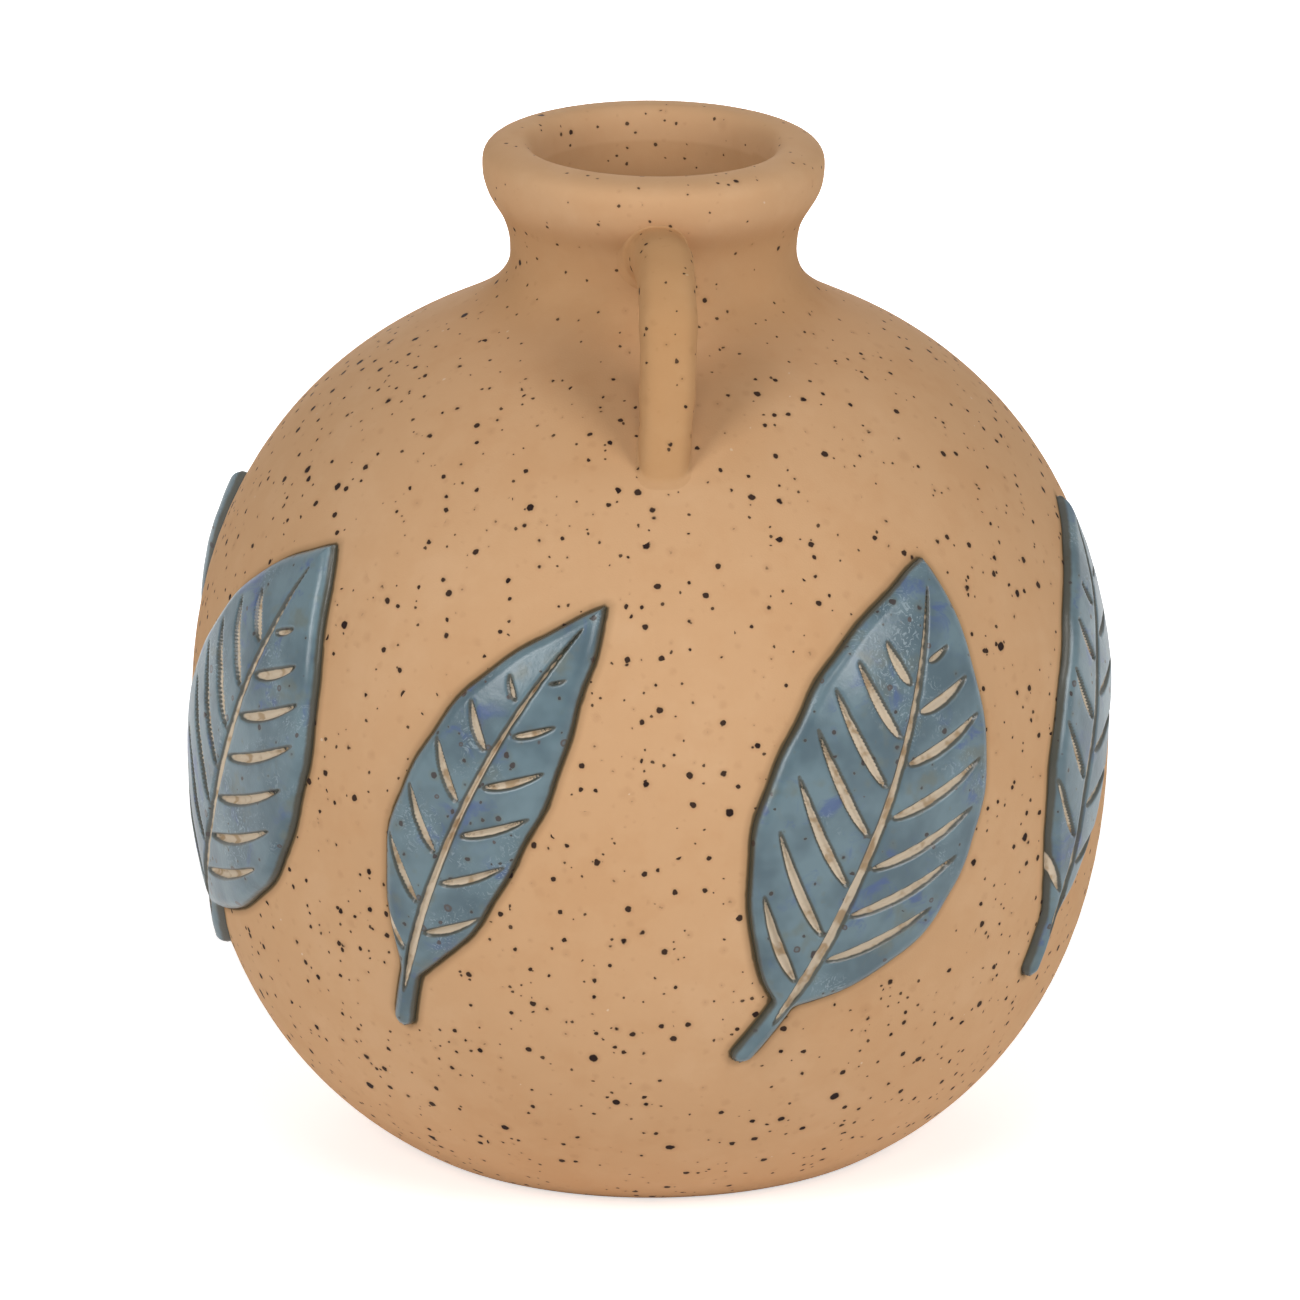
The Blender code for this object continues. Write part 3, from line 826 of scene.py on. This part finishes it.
def iron_speckle_group():
    """Grains in the clay: dark iron spots of three sizes, the stain round them, and pale grit."""
    shares = {"Amount": 1.0, "Coarse": 1.0}
    group, given, result = new_group("iron_speckle", shares, ("Spots", "Stain", "Pale Grains"))
    place = put(group, "ShaderNodeTexCoord").outputs["Object"]
    crowd = fade(group, noise(group, place, 75, 2, 0.6), 0.36, 0.66, 0.65, 1.3)
    fine = maths(group, "MULTIPLY", crowd, given["Amount"])
    coarse = maths(group, "MULTIPLY", fine, given["Coarse"])
    place = nudged(group, place, 1000, 0.55 * MM)
    spots, stains = None, None
    for cell, least, most, kind, share, strength in (
        (5.2 * MM, 0.60 * MM, 1.05 * MM, coarse, 0.28, 1.0),
        (3.0 * MM, 0.40 * MM, 0.76 * MM, coarse, 0.46, 0.96),
        (1.9 * MM, 0.22 * MM, 0.42 * MM, fine, 0.27, 0.86),
    ):
        inside, there = grains(group, place, cell, least, most, maths(group, "MULTIPLY", kind, share))
        there = maths(group, "MULTIPLY", there, strength)
        spot = maths(group, "MULTIPLY", fade(group, inside, 1.1, 0.8), there)
        stain = maths(group, "MULTIPLY", fade(group, inside, 2.2, 0.9), there)
        spots = spot if spots is None else maths(group, "MAXIMUM", spots, spot)
        stains = stain if stains is None else maths(group, "MAXIMUM", stains, stain)
    inside, there = grains(group, place, 4.1 * MM, 0.2 * MM, 0.4 * MM, 0.12)
    pale = maths(group, "MULTIPLY", fade(group, inside, 1.1, 0.7), there)
    group.links.new(spots, result["Spots"])
    group.links.new(stains, result["Stain"])
    group.links.new(pale, result["Pale Grains"])
    return group


def clay_tone_group():
    """Slow mottling and fine grain of bare clay."""
    group, _, result = new_group("clay_tone", {}, ("Mottle", "Grain"))
    place = put(group, "ShaderNodeTexCoord").outputs["Object"]
    slow = maths(group, "MULTIPLY", noise(group, place, 28, 3, 0.55), 0.6)
    mottle = maths(group, "MULTIPLY_ADD", noise(group, place, 130, 3, 0.6), 0.4, slow)
    group.links.new(mottle, result["Mottle"])
    group.links.new(noise(group, place, 2600, 2, 0.6), result["Grain"])
    return group


def read_value(tree, name):
    return put(tree, "ShaderNodeAttribute", attribute_name=name, attribute_type="GEOMETRY").outputs["Fac"]


def new_material(name):
    material = bpy.data.materials.new(name)
    material.use_nodes = True
    tree = material.node_tree
    return material, tree, tree.nodes["Principled BSDF"]


def set_bump(tree, shader, height, distance, strength):
    values = {"Height": height, "Distance": distance, "Strength": strength}
    tree.links.new(put(tree, "ShaderNodeBump", values).outputs[0], shader.inputs["Normal"])


# Materials

CLAY = (0.622, 0.373, 0.199, 1)
CLAY_WARM = (0.603, 0.352, 0.182, 1)
CLAY_PALE = (0.643, 0.396, 0.219, 1)
CLAY_STAIN = (0.40, 0.205, 0.090, 1)
PALE_GRAIN = (0.74, 0.62, 0.47, 1)
# The handle's darker wet-smoothed clay, also used as painted shade at the waist, beside the handle and in
# the bore
CLAY_WIPED_AND_SHADE = (0.82, 0.765, 0.66, 1)
IRON = (0.024, 0.013, 0.011, 1)
# Fumed brown clay, also used as painted contact shade round the leaves
FUMED_CLAY_AND_SHADE = (0.26, 0.150, 0.066, 1)
CUT_CLAY = (0.66, 0.55, 0.415, 1)
CUT_CLAY_BROWN = (0.45, 0.32, 0.195, 1)
GLAZE = (0.124, 0.193, 0.223, 1)
GLAZE_DEEP = (0.066, 0.112, 0.138, 1)
GLAZE_COBALT = (0.045, 0.084, 0.225, 1)
# Pale frost crystals, partly a painted highlight of the lamps' glints on the satin glaze
GLAZE_FROST_AND_GLINT = (0.330, 0.400, 0.435, 1)
GLAZE_OLIVE = (0.120, 0.128, 0.088, 1)
GLAZE_EDGE = (0.048, 0.043, 0.024, 1)
IRON_RING = (0.060, 0.036, 0.030, 1)


def clay_colour(tree, tone, speckle):
    colour = tint(tree, fade(tree, tone["Mottle"], 0.36, 0.50), CLAY_WARM, CLAY)
    colour = tint(tree, fade(tree, tone["Mottle"], 0.50, 0.66), colour, CLAY_PALE)
    colour = tint(tree, maths(tree, "MULTIPLY", speckle["Pale Grains"], 0.5), colour, PALE_GRAIN)
    return tint(tree, maths(tree, "MULTIPLY", speckle["Stain"], 0.22), colour, CLAY_STAIN)


def make_clay(groups):
    """Bare buff clay with painted shade at the neck's waist, beside the handle and in the bore, and
    browner round the leaves, where glaze has fumed on to it and where contact shade at their foot is
    painted in.
    """
    material, tree, shader = new_material("speckled_clay")
    tone = use_group(tree, groups["clay"])
    speckle = use_group(tree, groups["iron"], {"Coarse": read_value(tree, "coarse")})
    colour = clay_colour(tree, tone, speckle)
    # Painted shade at the neck's waist, in the handle's shadows and in the bore, and the handle's own
    # darker wet-smoothed clay
    colour = tint(tree, read_value(tree, "wiped_and_shade"), colour, CLAY_WIPED_AND_SHADE, "MULTIPLY")
    beside = read_value(tree, "leaf_mm")
    # Round each leaf: glaze fumed on to the clay, darkened further as painted contact shadow at the leaf's
    # foot
    fumed_halo_and_shade = maths(tree, "MULTIPLY", fade(tree, beside, 2.2, 0.1), 0.5)
    dark_fringe_and_contact_shadow = maths(tree, "MULTIPLY", fade(tree, beside, 0.75, 0.25), 0.8)
    colour = tint(tree, fumed_halo_and_shade, colour, FUMED_CLAY_AND_SHADE)
    colour = tint(tree, dark_fringe_and_contact_shadow, colour, GLAZE_EDGE)
    colour = tint(tree, speckle["Spots"], colour, IRON)
    tree.links.new(colour, shader.inputs["Base Color"])
    rough = fade(tree, speckle["Spots"], 0.2, 0.9, 0.86, 0.72)
    tree.links.new(rough, shader.inputs["Roughness"])
    shader.inputs["Specular IOR Level"].default_value = 0.08
    height = maths(tree, "MULTIPLY_ADD", speckle["Spots"], -0.8, tone["Grain"])
    set_bump(tree, shader, height, 0.06 * MM, 0.5)
    return material


def glaze_colour(tree, place, speckle):
    """Deep and thin places, cobalt smudges, brown-green breaks, pale frost crystals that are partly painted
    highlight glints, and iron rings.
    """
    colour = tint(tree, fade(tree, noise(tree, place, 70, 3, 0.6), 0.35, 0.65), GLAZE_DEEP, GLAZE)
    smudged = fade(tree, noise(tree, place, 48, 1, 0.5), 0.46, 0.60)
    cobalt = fade(tree, noise(tree, place, 150, 4, 0.6, 0.8), 0.52, 0.68)
    cobalt = maths(tree, "MULTIPLY", cobalt, smudged)
    colour = tint(tree, maths(tree, "MULTIPLY", cobalt, 0.75), colour, GLAZE_COBALT)
    olive = fade(tree, noise(tree, place, 105, 3, 0.6), 0.57, 0.70)
    colour = tint(tree, maths(tree, "MULTIPLY", olive, 0.5), colour, GLAZE_OLIVE)
    # Streaky pale frost: partly crystals in the glaze, partly painted highlight glints
    streaks = fade(tree, noise(tree, nudged(tree, place, 300, 6 * MM), 1500, 2, 0.6), 0.52, 0.66)
    patches = fade(tree, noise(tree, place, 62, 3, 0.6), 0.52, 0.64)
    frost_and_glint = maths(tree, "MULTIPLY", streaks, patches)
    colour = tint(tree, maths(tree, "MULTIPLY", frost_and_glint, 0.55), colour, GLAZE_FROST_AND_GLINT)
    colour = tint(tree, maths(tree, "MULTIPLY", speckle["Stain"], 0.3), colour, GLAZE_OLIVE)
    inside, there = grains(tree, nudged(tree, place, 800, 0.5 * MM), 4.4 * MM, 0.45 * MM, 0.85 * MM, 0.45)
    ring = maths(tree, "MULTIPLY", fade(tree, inside, 1.2, 0.95), fade(tree, inside, 0.35, 0.75, 0.45, 1.0))
    ring = maths(tree, "MULTIPLY", ring, there)
    return tint(tree, maths(tree, "MULTIPLY", ring, 0.85), colour, IRON_RING), frost_and_glint


def make_glaze(groups):
    """Satin blue glaze that pools on the leaf, breaks dark at its foot and stops at the cuts."""
    material, tree, shader = new_material("blue_glaze")
    place = put(tree, "ShaderNodeTexCoord").outputs["Object"]
    speckle = use_group(tree, groups["iron"], {"Amount": 0.55})
    colour, frost_and_glint = glaze_colour(tree, place, speckle)
    uneven = maths(tree, "MULTIPLY_ADD", noise(tree, place, 420, 2, 0.6), 0.7, -0.35)
    low = fade(tree, maths(tree, "ADD", read_value(tree, "lift_mm"), uneven), 1.0, 0.4)
    edge = fade(tree, maths(tree, "MULTIPLY_ADD", uneven, 0.5, read_value(tree, "rim_mm")), 0.95, 0.45)
    edge = maths(tree, "MULTIPLY", maths(tree, "MAXIMUM", low, edge), 0.92)
    colour = tint(tree, edge, colour, GLAZE_EDGE)
    cut = maths(tree, "MULTIPLY_ADD", uneven, 0.35, read_value(tree, "cut_mm"))
    border = maths(tree, "MULTIPLY", fade(tree, cut, 0.5, 0.12), 0.85)
    colour = tint(tree, border, colour, GLAZE_EDGE)
    colour = tint(tree, speckle["Spots"], colour, IRON)
    bare = fade(tree, cut, -0.02, -0.20)
    scraped = tint(tree, fade(tree, noise(tree, place, 260, 2, 0.6), 0.34, 0.50), CUT_CLAY_BROWN, CUT_CLAY)
    colour = tint(tree, bare, colour, scraped)
    tree.links.new(colour, shader.inputs["Base Color"])
    rough = fade(tree, frost_and_glint, 0.0, 1.0, 0.30, 0.46)
    rough = maths(tree, "MAXIMUM", rough, maths(tree, "MULTIPLY", bare, 0.85))
    tree.links.new(rough, shader.inputs["Roughness"])
    wavy = noise(tree, place, 520, 2, 0.5)
    pitted = maths(tree, "MULTIPLY", noise(tree, place, 1900, 2, 0.55), 0.28)
    set_bump(tree, shader, maths(tree, "MULTIPLY_ADD", wavy, 0.7, pitted), 0.14 * MM, 0.6)
    return material


# Studio

# Each softbox's name, azimuth from the handle's side and elevation in degrees, width and height
# in metres, and watts
SOFTBOXES = (
    ("softbox_left", -45, 30, (0.4, 0.65), 6.8),
    ("softbox_right", 45, 30, (0.4, 0.65), 6.8),
    ("softbox_above", 0, 55, (0.4, 0.4), 2.1),
    ("softbox_behind", 180, 40, (0.6, 0.6), 1.7),
    ("softbox_behind_low", 180, 12, (0.6, 0.6), 5.5),
)
SOFTBOX_DISTANCE = 1.3
LIGHT_TABLE_SIZE = (1.4, 1.4)
LIGHT_TABLE_WATTS = 0.86
LIGHT_TABLE_Z = 0.5 * MM
FLOOR_REACH = 6
FLOOR_WHITE = (0.92, 0.92, 0.92, 1)
# What the camera sees of the floor is lifted by this much at the jug, and to plain white between
# these distances from it
FLOOR_LIFT = 0.55
FLOOR_LIFT_GROWS = (0.12, 0.6)
AMBIENT = 0.10


def seen_directly(tree):
    """1 for what the camera sees, straight or in a gloss or glass, and 0 for light on surfaces."""
    paths = put(tree, "ShaderNodeLightPath").outputs
    seen = maths(tree, "MAXIMUM", paths["Is Camera Ray"], paths["Is Glossy Ray"])
    return maths(tree, "MAXIMUM", seen, paths["Is Transmission Ray"])


def make_floor():
    """A white floor that keeps the jug's soft shadow and runs out to plain white."""
    work = bmesh.new()
    bmesh.ops.create_grid(work, x_segments=2, y_segments=2, size=FLOOR_REACH)
    mesh = bpy.data.meshes.new("studio_floor")
    work.to_mesh(mesh)
    work.free()
    floor = bpy.data.objects.new("studio_floor", mesh)
    bpy.context.scene.collection.objects.link(floor)
    material, tree, shader = new_material("white_floor")
    shader.inputs["Base Color"].default_value = FLOOR_WHITE
    shader.inputs["Roughness"].default_value = 0.9
    shader.inputs["Emission Color"].default_value = (1, 1, 1, 1)
    place = put(tree, "ShaderNodeTexCoord").outputs["Object"]
    away = put(tree, "ShaderNodeVectorMath", {0: place}, operation="LENGTH").outputs["Value"]
    glow = fade(tree, away, *FLOOR_LIFT_GROWS, FLOOR_LIFT, 1.0)
    tree.links.new(maths(tree, "MULTIPLY", seen_directly(tree), glow), shader.inputs["Emission Strength"])
    mesh.materials.append(material)


def make_world():
    """White to the camera and in reflections, a weaker soft fill for the surfaces."""
    world = bpy.data.worlds.new("white_studio")
    bpy.context.scene.world = world
    world.use_nodes = True
    tree = world.node_tree
    backdrop = tree.nodes["Background"]
    backdrop.inputs["Color"].default_value = (1, 1, 1, 1)
    strength = fade(tree, seen_directly(tree), 0.0, 1.0, AMBIENT, 1.0)
    tree.links.new(strength, backdrop.inputs["Strength"])


def new_lamp(name, size, watts):
    light = bpy.data.lights.new(name, "AREA")
    light.shape = "RECTANGLE"
    light.size, light.size_y = size
    light.energy = watts
    lamp = bpy.data.objects.new(name, light)
    bpy.context.scene.collection.objects.link(lamp)
    return lamp


def make_softbox(name, azimuth, elevation, size, watts):
    """A softbox aimed at the belly's middle."""
    lamp = new_lamp(name, size, watts)
    turn, rise = math.radians(azimuth), math.radians(elevation)
    back = Vector((math.sin(turn) * math.cos(rise), -math.cos(turn) * math.cos(rise), math.sin(rise)))
    lamp.location = Vector((0, 0, BELLY_Z)) + SOFTBOX_DISTANCE * back
    lamp.rotation_euler = back.to_track_quat("Z", "Y").to_euler()


def make_light_table():
    """Light that the white table throws up on to the jug's underside."""
    lamp = new_lamp("light_table", LIGHT_TABLE_SIZE, LIGHT_TABLE_WATTS)
    lamp.location = (0, 0, LIGHT_TABLE_Z)
    lamp.rotation_euler = (math.pi, 0, 0)
    lamp.visible_camera = False
    lamp.visible_glossy = False


def make_camera():
    data = bpy.data.cameras.new("photo_camera")
    data.sensor_width = SENSOR_MM
    data.lens = FOCAL_LENGTH_PIXELS / PHOTO_SIZE * SENSOR_MM
    data.clip_end = 20
    camera = bpy.data.objects.new("photo_camera", data)
    bpy.context.scene.collection.objects.link(camera)
    flat = CAMERA_DISTANCE * math.cos(CAMERA_ELEVATION)
    camera.location = (
        flat * math.sin(CAMERA_AZIMUTH),
        -flat * math.cos(CAMERA_AZIMUTH),
        CAMERA_HEIGHT_ABOVE + CAMERA_DISTANCE * math.sin(CAMERA_ELEVATION),
    )
    camera.rotation_euler = (camera.location - CAMERA_AIM).to_track_quat("Z", "Y").to_euler()
    bpy.context.scene.camera = camera


def make_studio():
    make_floor()
    make_world()
    for softbox in SOFTBOXES:
        make_softbox(*softbox)
    make_light_table()
    make_camera()
    bpy.context.scene.view_settings.view_transform = "Standard"


# The jug


def dress(piece, material, slot, *nodes):
    piece.data.materials.append(material)
    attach(piece, "root")
    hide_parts(*nodes)


def make_jug():
    groups = {"iron": iron_speckle_group(), "clay": clay_tone_group()}
    clay, glaze = make_clay(groups), make_glaze(groups)
    body, neck, handle = make_body(), make_neck(), make_handle()
    mark_leaf_shade(body)
    for piece in (neck, handle):
        set_values(piece, "leaf_mm", np.full(len(piece.data.vertices), CLEAR_OF_LEAVES_MM))
    mark_clay(body, neck, handle)
    smooth_seam(body)
    smooth_seam(neck)
    dress(body, clay, "clay", "body")
    dress(neck, clay, "clay", "neck")
    dress(handle, clay, "clay", "handle")
    for name, leaf, azimuth, phase in leaf_places():
        dress(make_leaf("glazed_" + name, leaf, azimuth, phase), glaze, "glaze", name)


make_jug()
make_studio()
